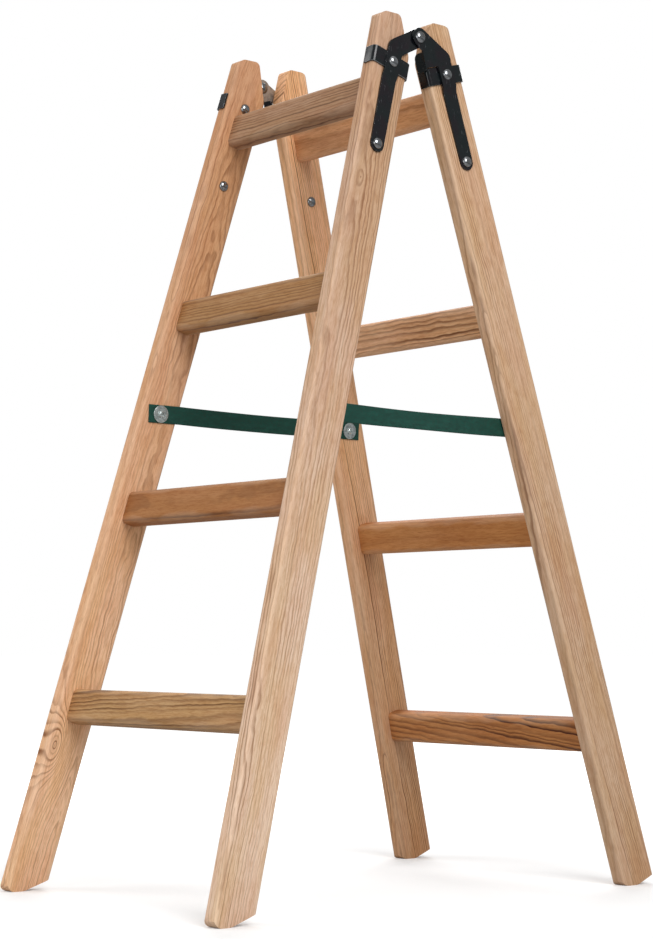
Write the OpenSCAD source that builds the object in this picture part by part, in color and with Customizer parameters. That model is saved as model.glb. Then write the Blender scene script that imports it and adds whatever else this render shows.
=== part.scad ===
// Wooden trestle ladder: two tapered leaves hinged at the top and held by webbing straps.
// The origin is on the floor under the middle of the ladder. The front leaf leans on -X and the
// rear leaf on +X, the rungs run along Y, and the right-hand stiles are those on -Y.

/* [Stance] */
// Height of the hinge pins above the floor, with the ladder open
pin_h = 1131; // [1080:1:1250]
// Height of the stile tops above the pins
top_rise = 27; // [20:1:40]
// Lean of each leaf from upright, with the ladder open
half_angle = 15.6; // [12:0.1:18]
// Gap between the two leaves when they are folded
fold_gap = 10; // [9:0.5:16]

/* [Stiles] */
// Depth of a stile, square to the leaf
stile_depth = 60; // [54:1:70]
// Thickness of a stile, along the rungs
stile_thick = 22; // [20:1:28]
// Radius of the long edges of a stile
stile_round = 4; // [1:0.5:6]
// Width across the stiles at the floor
width_foot = 475; // [430:1:540]
// Width across the stiles at the pins
width_pin = 326; // [290:1:380]
// Distance below the pins where the tapered top starts
taper_start = 36; // [32:1:40]
// Width cut off the inner side at the top
taper_width = 28; // [20:1:32]
// Radius of the bend where the taper starts
taper_round = 28; // [5:1:40]
// Radius of the outer corner at the top
top_round = 13; // [6:1:18]
// Radius of the inner corner at the top
top_inner_round = 8; // [3:1:12]
// Width of the part of a foot that meets the floor, before its corners are rounded
foot_land = 26; // [24:1:32]
// Height of the bevelled corner of a foot above the floor
foot_rise = 13; // [8:1:18]
// Radius of the corner that stands on the floor
foot_round = 10; // [5:1:12]
// Radius between the part on the floor and the bevel
foot_blend = 26; // [5:1:30]
// Radius of the bevelled corner
bevel_round = 4; // [1:0.5:6]

/* [Rungs] */
// Height of a rung, along the leaf
rung_h = 46; // [40:1:52]
// Depth of a rung, square to the leaf
rung_d = 27; // [24:1:34]
// Radius of the edges of a rung
rung_round = 8; // [3:1:11]
// Distance from the pins to the middle of the top rung
first_rung = 91; // [86:1:105]
// Spacing of the front rungs
pitch_front = 280; // [250:1:290]
// Spacing of the rear rungs
pitch_rear = 293; // [250:1:300]
// Height of a tenon
tenon_h = 30; // [24:1:34]
// Thickness of a tenon
tenon_d = 13; // [10:1:18]
// Length of a tenon
tenon_len = 15; // [10:1:17]

/* [Hinges] */
// Thickness of the hinge plates
plate_t = 2.5; // [2:0.1:3]
// Width of the arm and the eye of a hinge plate
arm_w = 25; // [22:1:28]
// Width of a hinge plate at its lower end
strap_w = 22; // [18:1:25]
// Distance from the pins down to the elbow of a plate
elbow_drop = 33; // [30:1:36]
// Distance from the pins down to the strap rivets
strap_rivet_drop = 172; // [155:1:185]
// Distance from the pins down to the middle of the bands
band_drop = 54; // [53:1:56]
// Height of a band
band_h = 23; // [20:1:25]
// Thickness of a band
band_t = 2.5; // [2:0.1:3]
// Length of the two sides of a band, across the stile
band_side = 16; // [12:1:19]
// Diameter of the hinge pins
pin_d = 8; // [6:0.5:10]
// Diameter of the hinge pin heads
pin_head_d = 16; // [12:0.5:18]
// Diameter of the rivets
rivet_d = 7; // [5:0.5:8]
// Diameter of the rivet heads
rivet_head_d = 15; // [11:0.5:17]
// Height of the pin and rivet heads
head_h = 4.5; // [3:0.5:6]
// Length of the stop tab on the rear plates, below the pins
tab_drop = 46; // [40:1:50]
// Width of the stop tab
tab_w = 16; // [12:1:18]

/* [Webbing] */
// Width of the webbing
web_w = 25; // [20:1:36]
// Thickness of the webbing
web_t = 1.8; // [1.4:0.1:2.6]
// Distance from the pins down to the screws of the right webbing
web_drop_right = 537; // [460:1:560]
// Distance from the pins down to the screws of the left webbing
web_drop_left = 513; // [460:1:560]
// Length of webbing past each screw
web_tail = 19; // [14:1:22]
// Sag of the webbing between the stiles
web_sag = 1.5; // [0:0.5:10]
// Diameter of the washers
washer_d = 24; // [18:1:26]
// Thickness of the washers
washer_t = 1.5; // [1:0.1:2]
// Diameter of the screws
screw_d = 5; // [4:0.5:6]
// Length of the screws in the stile
screw_len = 16; // [12:1:18]
// Diameter of the screw heads
screw_head_d = 10; // [8:0.5:12]
// Height of the screw heads
screw_head_h = 3.4; // [2.5:0.1:4]

/* [Hidden] */
// Roundness of cylinders
$fn = 48;
// Points along a rounded corner of an outline
corner_steps = 8;
// Gap all round a tenon, and between a rung's shoulder and its stile
joint_gap = 0.1;
// Gap between metal and wood, and between parts that lie on each other
seat_gap = 0.1;
// Gap all round a pin, rivet or screw in its hole
hole_gap = 0.05;
// Gap all round a screw in the webbing and its washer
web_hole_gap = 0.4;
// Gap between the two eyes of a hinge
eye_gap = 0.3;
// Gap between the stop tab and the other leaf's arm, with the ladder folded
tab_gap = 7;
// Extra length of a cutting shape past the face it cuts
over = 1;
// Rungs in each leaf
rung_count = 4;
// Length of the bend where a plate steps over its band or behind its mate
step_len = 8;
// Overlap of the two halves of a plate at the bend below its arm
bend_lap = 2;
// Points along the sag of the webbing
sag_steps = 16;

front = -1;
rear = 1;
right = -1;
left = 1;

// Leaf frame: its origin is on the pin axis, x is square to the leaf and points away from the other
// leaf, and z runs up the leaf.
leaf_in = fold_gap / 2;
leaf_out = leaf_in + stile_depth;
leaf_mid = leaf_in + stile_depth / 2;
foot_z = -pin_h / cos(half_angle);
top_h = pin_h + top_rise;
splay = atan((width_foot - width_pin) / 2 / -foot_z);
// Distance from the middle plane to a stile's axis, at the height of the pins
axis_y = width_pin / 2 - stile_thick / 2 / cos(splay);
face = stile_thick / 2;

// Place along the leaf where the plane at a height above the floor crosses it
function level(h, x) = (h - pin_h - x * sin(half_angle)) / cos(half_angle);
// Distance from the middle plane to a plane of the stile, given its offset from the stile's axis
function side_y(offset, z) = axis_y + offset / cos(splay) - z * tan(splay);
function unit(v) = v / norm(v);
// Arc that rounds corner b of the outline a, b, c
function corner(a, b, c, r) =
  let (u = unit(a - b), v = unit(c - b), half = acos(u * v) / 2)
  let (m = b + unit(u + v) * r / sin(half))
  let (p = b + u * r / tan(half) - m, q = b + v * r / tan(half) - m)
  let (s = atan2(p[1], p[0]), t = atan2(q[1], q[0]), d = t - s)
  let (turn = d > 180 ? d - 360 : d < -180 ? d + 360 : d)
  let (step = turn / corner_steps)
  [for (i = [0:corner_steps]) m + r * [cos(s + step * i), sin(s + step * i)]];
// Outline through points [x, z, corner radius]
function rounded(pts) =
  let (n = len(pts), flat = [for (p = pts) [p[0], p[1]]])
  [for (i = [0:n - 1]) each corner(flat[(i + n - 1) % n], flat[i], flat[(i + 1) % n], pts[i][2])];
// Point of a leaf in the ladder's own frame, seen along the rungs
function in_world(x, z) =
  [x * cos(half_angle) - z * sin(half_angle), pin_h + x * sin(half_angle) + z * cos(half_angle)];
function rung_z(side, i) = -first_rung - i * (side == front ? pitch_front : pitch_rear);

// Outline of a stile in its leaf. A front foot stands on its outer corner, a rear one on its inner.
function foot_points(side) = side == front
  ? [
      [leaf_in, level(foot_rise, leaf_in), bevel_round],
      [leaf_out - foot_land, level(0, leaf_out - foot_land), foot_blend],
      [leaf_out, level(0, leaf_out), foot_round]
    ]
  : [
      [leaf_in, level(0, leaf_in), foot_round],
      [leaf_in + foot_land, level(0, leaf_in + foot_land), foot_blend],
      [leaf_out, level(foot_rise, leaf_out), bevel_round]
    ];
top_in = leaf_in + taper_width;
top_points = [
  [leaf_out, level(top_h, leaf_out), top_round],
  [top_in, level(top_h, top_in), top_inner_round],
  [leaf_in, -taper_start, taper_round]
];

// Layers of the hinge plates: where the plate over a band turns upright for its arm
bend_z = -band_drop + band_h / 2 + bend_lap;
outer_eye_y = side_y(face + band_t, bend_z) + 2 * seat_gap;
inner_eye_y = outer_eye_y - plate_t - eye_gap;
band_bottom = -band_drop - band_h / 2;
eye_r = arm_w / 2;
// Stop tab: it lies over the side of its band
tab_x = leaf_in - band_t - 2 * seat_gap - plate_t;
tab_top = -eye_r - tab_gap;

// Webbing: place of its screws and of the stiles' inner edges, in the ladder's own frame
function web_drop(hand) = hand == right ? web_drop_right : web_drop_left;
function screw_at(hand) = in_world(leaf_mid, -face * sin(splay) - web_drop(hand) * cos(splay));
function web_edge_z(hand) = level(screw_at(hand)[1], leaf_in);
function web_edge_x(hand) = in_world(leaf_in, web_edge_z(hand))[0];
function web_end(hand) = screw_at(hand)[0] + web_tail;
web_tilt = atan(tan(splay) * cos(half_angle));
web_turn = tan(splay) * sin(half_angle);
washer_seat = face + web_t + 2 * seat_gap;
screw_seat = washer_seat + washer_t + seat_gap;

// Frames
module in_leaf(side) {
  translate([0, 0, pin_h])
    mirror([side == front ? 1 : 0, 0, 0])
      rotate([0, -half_angle, 0]) children();
}
module on_hand(hand) {
  mirror([0, hand == left ? 1 : 0, 0]) children();
}
// Frame of a stile: its axis is z, and its outer face looks along -y
module in_stile(hand) {
  on_hand(hand) translate([0, -axis_y, 0]) rotate([-splay, 0, 0]) children();
}

// Shapes
module rounded_rect(w, h, r) {
  square([w - 2 * r, h], center = true);
  square([w, h - 2 * r], center = true);
  for (x = [-1, 1], y = [-1, 1]) translate([x * (w / 2 - r), y * (h / 2 - r)]) circle(r);
}
// Slab drawn in the x-z plane, from y0 to y1
module slab(y0, y1) {
  translate([0, y1, 0]) rotate([90, 0, 0]) linear_extrude(height = y1 - y0) children();
}
// Rod along y
module rod(r, y0, y1) {
  translate([0, y1, 0]) rotate([90, 0, 0]) cylinder(r = r, h = y1 - y0);
}
// Dome on the plane y = 0, bulging towards -y
module dome(d, h) {
  ball = (d * d / 4 + h * h) / (2 * h);
  intersection() {
    translate([0, ball - h, 0]) sphere(r = ball, $fn = 64);
    rod(d / 2, -h, 0);
  }
}
module capsule(a, b, r) {
  along = b - a;
  translate(a) circle(r);
  translate(b) circle(r);
  translate(a) rotate(atan2(along[1], along[0])) translate([0, -r]) square([norm(along), 2 * r]);
}
// Rivet from the outer seat y0 to the inner seat y1
module rivet(d, head_d, y0, y1) {
  rod(d / 2, y0 - head_h / 2, y1 + head_h / 2);
  translate([0, y0, 0]) dome(head_d, head_h);
  translate([0, y1, 0]) rotate([180, 0, 0]) dome(head_d, head_h);
}

// Wood
module stile(side, hand) {
  color("burlywood") in_leaf(side) difference() {
    intersection() {
      slab(-width_foot, width_foot) polygon(rounded(concat(foot_points(side), top_points)));
      in_stile(hand)
        translate([leaf_mid, 0, foot_z * 2])
          linear_extrude(height = -foot_z * 3) rounded_rect(stile_depth, stile_thick, stile_round);
    }
    for (i = [0:rung_count - 1]) on_hand(hand) mortise(rung_z(side, i));
    for (z = [-band_drop, -strap_rivet_drop])
      in_stile(hand) translate([leaf_mid, 0, z]) rod(rivet_d / 2 + hole_gap, -face - over, face + over);
    in_stile(hand)
      translate([leaf_mid, 0, -web_drop(hand)])
        rod(screw_d / 2 + hole_gap, face - screw_len - over, face + over);
  }
}
module mortise(z) {
  bottom = side_y(-face, z) + tenon_len + joint_gap;
  translate([leaf_mid, 0, z])
    slab(-bottom, -bottom + stile_thick)
      square([tenon_d + 2 * joint_gap, tenon_h + 2 * joint_gap], center = true);
}
module rung(side, i) {
  z = rung_z(side, i);
  shoulder = side_y(0, z - rung_h);
  tip = side_y(-face, z) + tenon_len;
  color("peru") in_leaf(side) {
    difference() {
      translate([leaf_mid, 0, z]) slab(-shoulder, shoulder) rounded_rect(rung_d, rung_h, rung_round);
      for (hand = [right, left]) in_stile(hand)
        translate([leaf_in, face + joint_gap - 2 * stile_thick, z - 2 * rung_h])
          cube([stile_depth, 2 * stile_thick, 4 * rung_h]);
    }
    translate([leaf_mid, 0, z]) slab(-tip, tip) square([tenon_d, tenon_h], center = true);
  }
}

// Hinges
module strap_outline() {
  polygon([
    [leaf_mid - arm_w / 2, -elbow_drop], [leaf_mid + arm_w / 2, -elbow_drop],
    [leaf_mid + strap_w / 2, -strap_rivet_drop], [leaf_mid - strap_w / 2, -strap_rivet_drop]
  ]);
  translate([leaf_mid, -strap_rivet_drop]) circle(strap_w / 2);
}
module arm_outline() {
  capsule([0, 0], [leaf_mid, -elbow_drop], eye_r);
}
// Corner of a rear plate, between its arm, its strap and its stop tab
module corner_outline() {
  polygon([[tab_x, -eye_r], [tab_x, bend_z], [leaf_mid, bend_z], [leaf_mid, -elbow_drop]]);
}
// Side of the strap in its stile: it lies on the stile and steps up over the band
module strap_profile() {
  low = -strap_rivet_drop - strap_w;
  on_wood = -face - seat_gap;
  on_band = -face - band_t - 2 * seat_gap;
  step_top = band_bottom - step_len / 2;
  step_low = step_top - step_len;
  top = bend_z + bend_lap;
  polygon([
    [on_wood, low], [on_wood, step_low], [on_band, step_top], [on_band, top],
    [on_band - plate_t, top], [on_band - plate_t, step_top], [on_wood - plate_t, step_low],
    [on_wood - plate_t, low]
  ]);
}
// Plan of a front arm: it steps inwards to pass behind the rear eye
module front_arm_plan() {
  step_out = eye_r + step_len;
  far = leaf_mid + arm_w;
  polygon([
    [far, -outer_eye_y], [step_out, -outer_eye_y], [eye_r, -inner_eye_y], [-arm_w, -inner_eye_y],
    [-arm_w, -inner_eye_y - plate_t], [eye_r, -inner_eye_y - plate_t],
    [step_out, -outer_eye_y - plate_t], [far, -outer_eye_y - plate_t]
  ]);
}
module strap(hand) {
  in_stile(hand) intersection() {
    slab(-stile_thick, stile_thick) strap_outline();
    rotate([90, 0, 90]) linear_extrude(height = 2 * stile_depth) strap_profile();
  }
}
module plate_holes(hand) {
  on_hand(hand) rod(pin_d / 2 + hole_gap, -width_pin, 0);
  for (z = [-band_drop, -strap_rivet_drop])
    in_stile(hand) translate([leaf_mid, 0, z]) rod(rivet_d / 2 + hole_gap, -stile_thick, stile_thick);
}
module above_bend() {
  translate([-arm_w, bend_z - bend_lap]) square([2 * stile_depth, 4 * arm_w]);
}
module front_hinge_plate(hand) {
  color("#22262a") in_leaf(front) difference() {
    union() {
      strap(hand);
      on_hand(hand) intersection() {
        slab(-width_pin, 0) intersection() {
          arm_outline();
          above_bend();
        }
        translate([0, 0, -strap_rivet_drop])
          linear_extrude(height = 2 * strap_rivet_drop) front_arm_plan();
      }
    }
    plate_holes(hand);
  }
}
module rear_hinge_plate(hand) {
  color("#22262a") in_leaf(rear) difference() {
    union() {
      strap(hand);
      on_hand(hand) {
        slab(-outer_eye_y - plate_t, -outer_eye_y) {
          intersection() {
            arm_outline();
            above_bend();
          }
          corner_outline();
        }
        stop_tab(-outer_eye_y - plate_t, -outer_eye_y + tab_w);
      }
    }
    plate_holes(hand);
  }
}
// Tab bent in from the edge of a rear plate, along the inner side of its stile
module stop_tab(y0, y1) {
  tab_round = tab_w / 2;
  edge_round = plate_t / 4;
  translate([tab_x, 0, 0])
    rotate([90, 0, 90])
      linear_extrude(height = plate_t)
        polygon(rounded([
          [y0, tab_top, edge_round], [y0, -tab_drop, tab_round], [y1, -tab_drop, tab_round],
          [y1, tab_top, tab_round]
        ]));
}
module band(side, hand) {
  c = seat_gap;
  inner_r = stile_round + c;
  color("#2b3035") in_leaf(side) in_stile(hand) difference() {
    translate([leaf_mid, 0, -band_drop - band_h / 2]) linear_extrude(height = band_h) difference() {
      rounded_rect(stile_depth + 2 * (band_t + c), stile_thick + 2 * (band_t + c), inner_r + band_t);
      rounded_rect(stile_depth + 2 * c, stile_thick + 2 * c, inner_r);
      translate([-stile_depth, band_side - face]) square([2 * stile_depth, stile_thick]);
    }
    translate([leaf_mid, 0, -band_drop]) rod(rivet_d / 2 + hole_gap, -stile_thick, 0);
  }
}
module hinge_pin(hand) {
  outer = -outer_eye_y - plate_t - seat_gap;
  inner = -inner_eye_y + seat_gap;
  color("silver") translate([0, 0, pin_h]) on_hand(hand) rivet(pin_d, pin_head_d, outer, inner);
}
module stile_rivets(side, drop, outer) {
  color("silver") in_leaf(side) for (hand = [right, left])
    in_stile(hand) translate([leaf_mid, 0, -drop]) rivet(rivet_d, rivet_head_d, outer, face + seat_gap);
}
module band_rivets(side) {
  stile_rivets(side, band_drop, -face - band_t - plate_t - 3 * seat_gap);
}
module strap_rivets(side) {
  stile_rivets(side, strap_rivet_drop, -face - plate_t - 2 * seat_gap);
}

// Webbing
module webbing(hand) {
  edge = web_edge_x(hand);
  end = web_end(hand);
  y = side_y(-face, web_edge_z(hand));
  color("darkgreen") on_hand(hand)
    translate([0, -y, screw_at(hand)[1]]) rotate([-web_tilt, 0, 0]) difference() {
      intersection() {
        slab(-stile_thick, stile_thick) webbing_outline(edge, end);
        translate([0, 0, -2 * web_w]) linear_extrude(height = 4 * web_w) webbing_plan(edge, end);
      }
      for (x = [-1, 1]) translate([x * screw_at(hand)[0], 0, 0])
        rod(screw_d / 2 + web_hole_gap, -stile_thick, stile_thick);
    }
}
// Side of the webbing: it sags between the stiles' inner edges
module webbing_outline(edge, end) {
  xs = concat([-end], [for (i = [-sag_steps:sag_steps]) edge * i / sag_steps], [end]);
  sag = [for (x = xs) abs(x) < edge ? -web_sag * (1 - pow(x / edge, 2)) : 0];
  last = len(xs) - 1;
  polygon(concat(
    [for (i = [0:last]) [xs[i], sag[i] + web_w / 2]],
    [for (i = [last:-1:0]) [xs[i], sag[i] - web_w / 2]]
  ));
}
// Plan of the webbing: straight between the stiles, and flat on each stile's inner face
module webbing_plan(edge, end) {
  turn = (end - edge) * web_turn;
  y0 = seat_gap;
  y1 = seat_gap + web_t;
  polygon([
    [-end, y0 - turn], [-edge, y0], [edge, y0], [end, y0 - turn],
    [end, y1 - turn], [edge, y1], [-edge, y1], [-end, y1 - turn]
  ]);
}
module washers(side) {
  color("lightgray") in_leaf(side) for (hand = [right, left])
    in_stile(hand) translate([leaf_mid, 0, -web_drop(hand)]) difference() {
      rod(washer_d / 2, washer_seat, washer_seat + washer_t);
      rod(screw_d / 2 + web_hole_gap, -stile_thick, stile_thick);
    }
}
module screws(side) {
  color("lightgray") in_leaf(side) for (hand = [right, left])
    in_stile(hand) translate([leaf_mid, 0, -web_drop(hand)]) {
      rod(screw_d / 2, face - screw_len, screw_seat + screw_head_h / 2);
      translate([0, screw_seat, 0]) rotate([180, 0, 0]) dome(screw_head_d, screw_head_h);
    }
}

stile(front, right);  // front_stile_right
stile(front, left);  // front_stile_left
stile(rear, right);  // rear_stile_right
stile(rear, left);  // rear_stile_left
rung(front, 0);  // front_rung_1
rung(front, 1);  // front_rung_2
rung(front, 2);  // front_rung_3
rung(front, 3);  // front_rung_4
rung(rear, 0);  // rear_rung_1
rung(rear, 1);  // rear_rung_2
rung(rear, 2);  // rear_rung_3
rung(rear, 3);  // rear_rung_4
front_hinge_plate(right);  // front_hinge_plate_right
front_hinge_plate(left);  // front_hinge_plate_left
rear_hinge_plate(right);  // rear_hinge_plate_right
rear_hinge_plate(left);  // rear_hinge_plate_left
band(front, right);  // front_band_right
band(front, left);  // front_band_left
band(rear, right);  // rear_band_right
band(rear, left);  // rear_band_left
hinge_pin(right);  // hinge_pin_right
hinge_pin(left);  // hinge_pin_left
band_rivets(front);  // front_band_rivets
band_rivets(rear);  // rear_band_rivets
strap_rivets(front);  // front_strap_rivets
strap_rivets(rear);  // rear_strap_rivets
webbing(right);  // webbing_right
webbing(left);  // webbing_left
washers(front);  // front_washers
washers(rear);  // rear_washers
screws(front);  // front_screws
screws(rear);  // rear_screws
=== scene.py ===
from math import atan, cos, hypot, pi, radians, sin, tan

import bmesh
import bpy
from mathutils import Matrix, Vector


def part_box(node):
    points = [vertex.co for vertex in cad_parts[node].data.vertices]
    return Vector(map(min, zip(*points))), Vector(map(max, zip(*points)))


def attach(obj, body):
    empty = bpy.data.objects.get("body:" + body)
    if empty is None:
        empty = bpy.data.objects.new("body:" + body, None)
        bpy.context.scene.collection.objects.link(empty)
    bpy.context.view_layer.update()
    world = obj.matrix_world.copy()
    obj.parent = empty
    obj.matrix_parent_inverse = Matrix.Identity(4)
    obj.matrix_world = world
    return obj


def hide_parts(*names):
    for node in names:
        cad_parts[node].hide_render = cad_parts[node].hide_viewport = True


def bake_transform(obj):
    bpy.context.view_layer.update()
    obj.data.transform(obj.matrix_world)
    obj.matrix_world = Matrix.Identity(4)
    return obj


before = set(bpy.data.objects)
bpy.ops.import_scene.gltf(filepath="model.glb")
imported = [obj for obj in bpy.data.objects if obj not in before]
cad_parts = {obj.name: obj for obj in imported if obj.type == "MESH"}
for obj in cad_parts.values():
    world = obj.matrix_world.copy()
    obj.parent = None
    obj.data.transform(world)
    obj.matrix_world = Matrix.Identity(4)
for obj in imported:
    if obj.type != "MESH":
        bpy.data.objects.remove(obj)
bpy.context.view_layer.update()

# Wooden trestle ladder. Sizes are in metres, and these repeat those of the solids.
PIN_HEIGHT = 1.131
HALF_ANGLE = radians(15.6)
LEAF_IN, LEAF_MID = 0.005, 0.035
STILE_DEPTH, STILE_THICK = 0.060, 0.022
FOOT_WIDTH, PIN_WIDTH = 0.475, 0.326
RUNG_HEIGHT, RUNG_DEPTH = 0.046, 0.027
PLATE = 0.0025
SEAT_GAP, EYE_GAP = 0.0001, 0.0003
BAND_DROP, BAND_HEIGHT, BEND_LAP = 0.054, 0.023, 0.002
STRAP_RIVET_DROP = 0.172
RIVET_HEAD, RIVET_SHANK, HEAD_HEIGHT = 0.015, 0.007, 0.0045
PIN_HEAD, PIN_SHANK = 0.016, 0.008
WEB_WIDTH, WEB_THICK, WEB_TAIL, WEB_SAG = 0.025, 0.0018, 0.019, 0.0015
WEB_DROP = {"right": 0.537, "left": 0.513}
WASHER, WASHER_HOLE, WASHER_THICK = 0.024, 0.0058, 0.0015
SCREW_HEAD, SCREW_HEAD_HEIGHT = 0.010, 0.0034
SCREW_SHANK, SCREW_LENGTH = 0.005, 0.016

# Fine detail that the solids leave out
STILE_EASE, RUNG_EASE, STEEL_EASE = 0.0012, 0.0008, 0.0005
WASHER_RIM = 0.0005
RECESS_DEPTH, RECESS_SLOT = 0.0018, 0.0022
WEB_LEAN = radians(12)
WEAVE_RIB, WEAVE_PICK = 0.0015, 0.0026
RUBBED_HIGHLIGHT_BAND = 0.010

SPLAY = atan((FOOT_WIDTH - PIN_WIDTH) / 2 / (PIN_HEIGHT / cos(HALF_ANGLE)))
FACE = STILE_THICK / 2
AXIS_Y = PIN_WIDTH / 2 - FACE / cos(SPLAY)
LEAVES, HANDS = ("front", "rear"), ("right", "left")


def tone(red, green, blue):
    """A colour given as it looks on a screen, 0 to 255."""
    level = [c / 255 for c in (red, green, blue)]
    return (*[c / 12.92 if c < 0.04 else ((c + 0.055) / 1.055) ** 2.4 for c in level], 1)


WHITE = (1, 1, 1, 1)


# Places on the ladder
def leaf_axes(leaf):
    """Square out of a leaf, and up it."""
    way = -1 if leaf == "front" else 1
    return (Vector((way * cos(HALF_ANGLE), 0, sin(HALF_ANGLE))),
            Vector((-way * sin(HALF_ANGLE), 0, cos(HALF_ANGLE))))


def side_of(hand):
    return Vector((0, -1 if hand == "right" else 1, 0))


def stile_axes(leaf, hand):
    """Square out of the leaf, out of the stile's outer face, and up the stile."""
    out, up = leaf_axes(leaf)
    side = side_of(hand)
    return out, side * cos(SPLAY) + up * sin(SPLAY), up * cos(SPLAY) - side * sin(SPLAY)


def on_stile(leaf, hand, depth, face, along):
    """A point from the pin line: out of the leaf, out of the stile's side, and up the stile."""
    out, cheek, up = stile_axes(leaf, hand)
    pin_end = Vector((0, 0, PIN_HEIGHT)) + side_of(hand) * AXIS_Y
    return pin_end + out * depth + cheek * face + up * along


def side_y(offset, along):
    """How far from the middle a line beside a stile's axis lies, at a height up the leaf."""
    return AXIS_Y + offset / cos(SPLAY) - along * tan(SPLAY)


def turned(x_axis, z_axis, place):
    """The frame of one length of timber, its z axis along the grain."""
    y_axis = z_axis.cross(x_axis)
    return Matrix.Translation(place) @ Matrix((x_axis, y_axis, z_axis)).transposed().to_4x4()


# Node trees
def add(tree, kind, feeds=None, **settings):
    """A node with its settings, its inputs fed from sockets or set to values."""
    node = tree.nodes.new(kind)
    for name, value in settings.items():
        setattr(node, name, value)
    for socket, feed in (feeds or {}).items():
        if isinstance(feed, bpy.types.NodeSocket):
            tree.links.new(feed, node.inputs[socket])
        else:
            node.inputs[socket].default_value = feed
    return node


def sum_of(tree, operation, *feeds):
    return add(tree, "ShaderNodeMath", dict(enumerate(feeds)), operation=operation).outputs[0]


def scaled(tree, place, cells):
    """A place scaled for noise, by its cells to the metre."""
    return add(tree, "ShaderNodeVectorMath", {0: place, 1: cells}, operation="MULTIPLY").outputs[0]


def parts_of(tree, place):
    return add(tree, "ShaderNodeSeparateXYZ", {0: place}).outputs


def point_of(tree, x=0.0, y=0.0, z=0.0):
    return add(tree, "ShaderNodeCombineXYZ", {0: x, 1: y, 2: z}).outputs[0]


def own_place(tree):
    return add(tree, "ShaderNodeTexCoord").outputs["Object"]


def eased(tree, value, low, high, to_low=0.0, to_high=1.0):
    """A value eased from one range to another."""
    feeds = {0: value, 1: low, 2: high, 3: to_low, 4: to_high}
    return add(tree, "ShaderNodeMapRange", feeds, interpolation_type="SMOOTHSTEP").outputs[0]


def noise(tree, place, scale=1.0, detail=2.0, roughness=0.5, output=0):
    feeds = {"Vector": place, "Scale": scale, "Detail": detail, "Roughness": roughness}
    return add(tree, "ShaderNodeTexNoise", feeds).outputs[output]


def mixed(tree, factor, first, second, way="MIX"):
    """Two colours mixed by a mask."""
    feeds = {0: factor, 6: first, 7: second}
    return add(tree, "ShaderNodeMix", feeds, data_type="RGBA", blend_type=way).outputs[2]


SOCKETS = {"value": "NodeSocketFloat", "vector": "NodeSocketVector",
           "shape": "NodeSocketGeometry", "finish": "NodeSocketMaterial"}


def values(*labels):
    return dict.fromkeys(labels, "value")


def new_tree(name, kind, inputs, outputs):
    """An empty node group with named sockets, and its two end nodes."""
    tree = bpy.data.node_groups.new(name, kind)
    for way, sockets in (("INPUT", inputs), ("OUTPUT", outputs)):
        for label, what in sockets.items():
            tree.interface.new_socket(name=label, in_out=way, socket_type=SOCKETS[what])
    given, ends = tree.nodes.new("NodeGroupInput"), tree.nodes.new("NodeGroupOutput")
    return tree, given.outputs, ends.inputs


def finish_with(tree, ends, answers):
    for label, socket in answers.items():
        tree.links.new(socket, ends[label])


def placed(tree, group, feeds):
    """A node group placed in a material."""
    return add(tree, "ShaderNodeGroup", feeds, node_tree=group).outputs


# Shared effects. Noise cells to the metre: twice across the grain, then along it
WAVE_CELLS, RIPPLE_CELLS, FINE_RIPPLE_CELLS = (9, 9, 1.7), (34, 34, 15), (80, 80, 50)
STREAK_CELLS, FIBRE_CELLS, PORE_CELLS = (210, 210, 9), (620, 620, 60), (1300, 1300, 75)
PATCH_CELLS, TINT_CELLS, RUB_CELLS = (22, 22, 5), (30, 30, 6), (60, 60, 14)
SCRATCH_CELLS = (900, 900, 70)
FINE_RIPPLE_SHARE = 0.4
# How far streaks shift a ring, and how far rings crowd, over how many of them
STREAK_SHIFT = 0.0005
CROWDING, CROWD_CELLS = 2.6, 0.3
# Parts of a ring where its late wood is full and where it ends
LATE_FULL, LATE_END = 0.86, 0.88
# A knot's length and the rise of the rings, in its sizes, and how they fade round it
KNOT_LENGTH, KNOT_RISE = 2.1, 1.4
KNOT_FALL, KNOT_SHAPE = 1.2, 0.65
HOLD, HOLD_SHAPE = 0.85, 0.4


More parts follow.
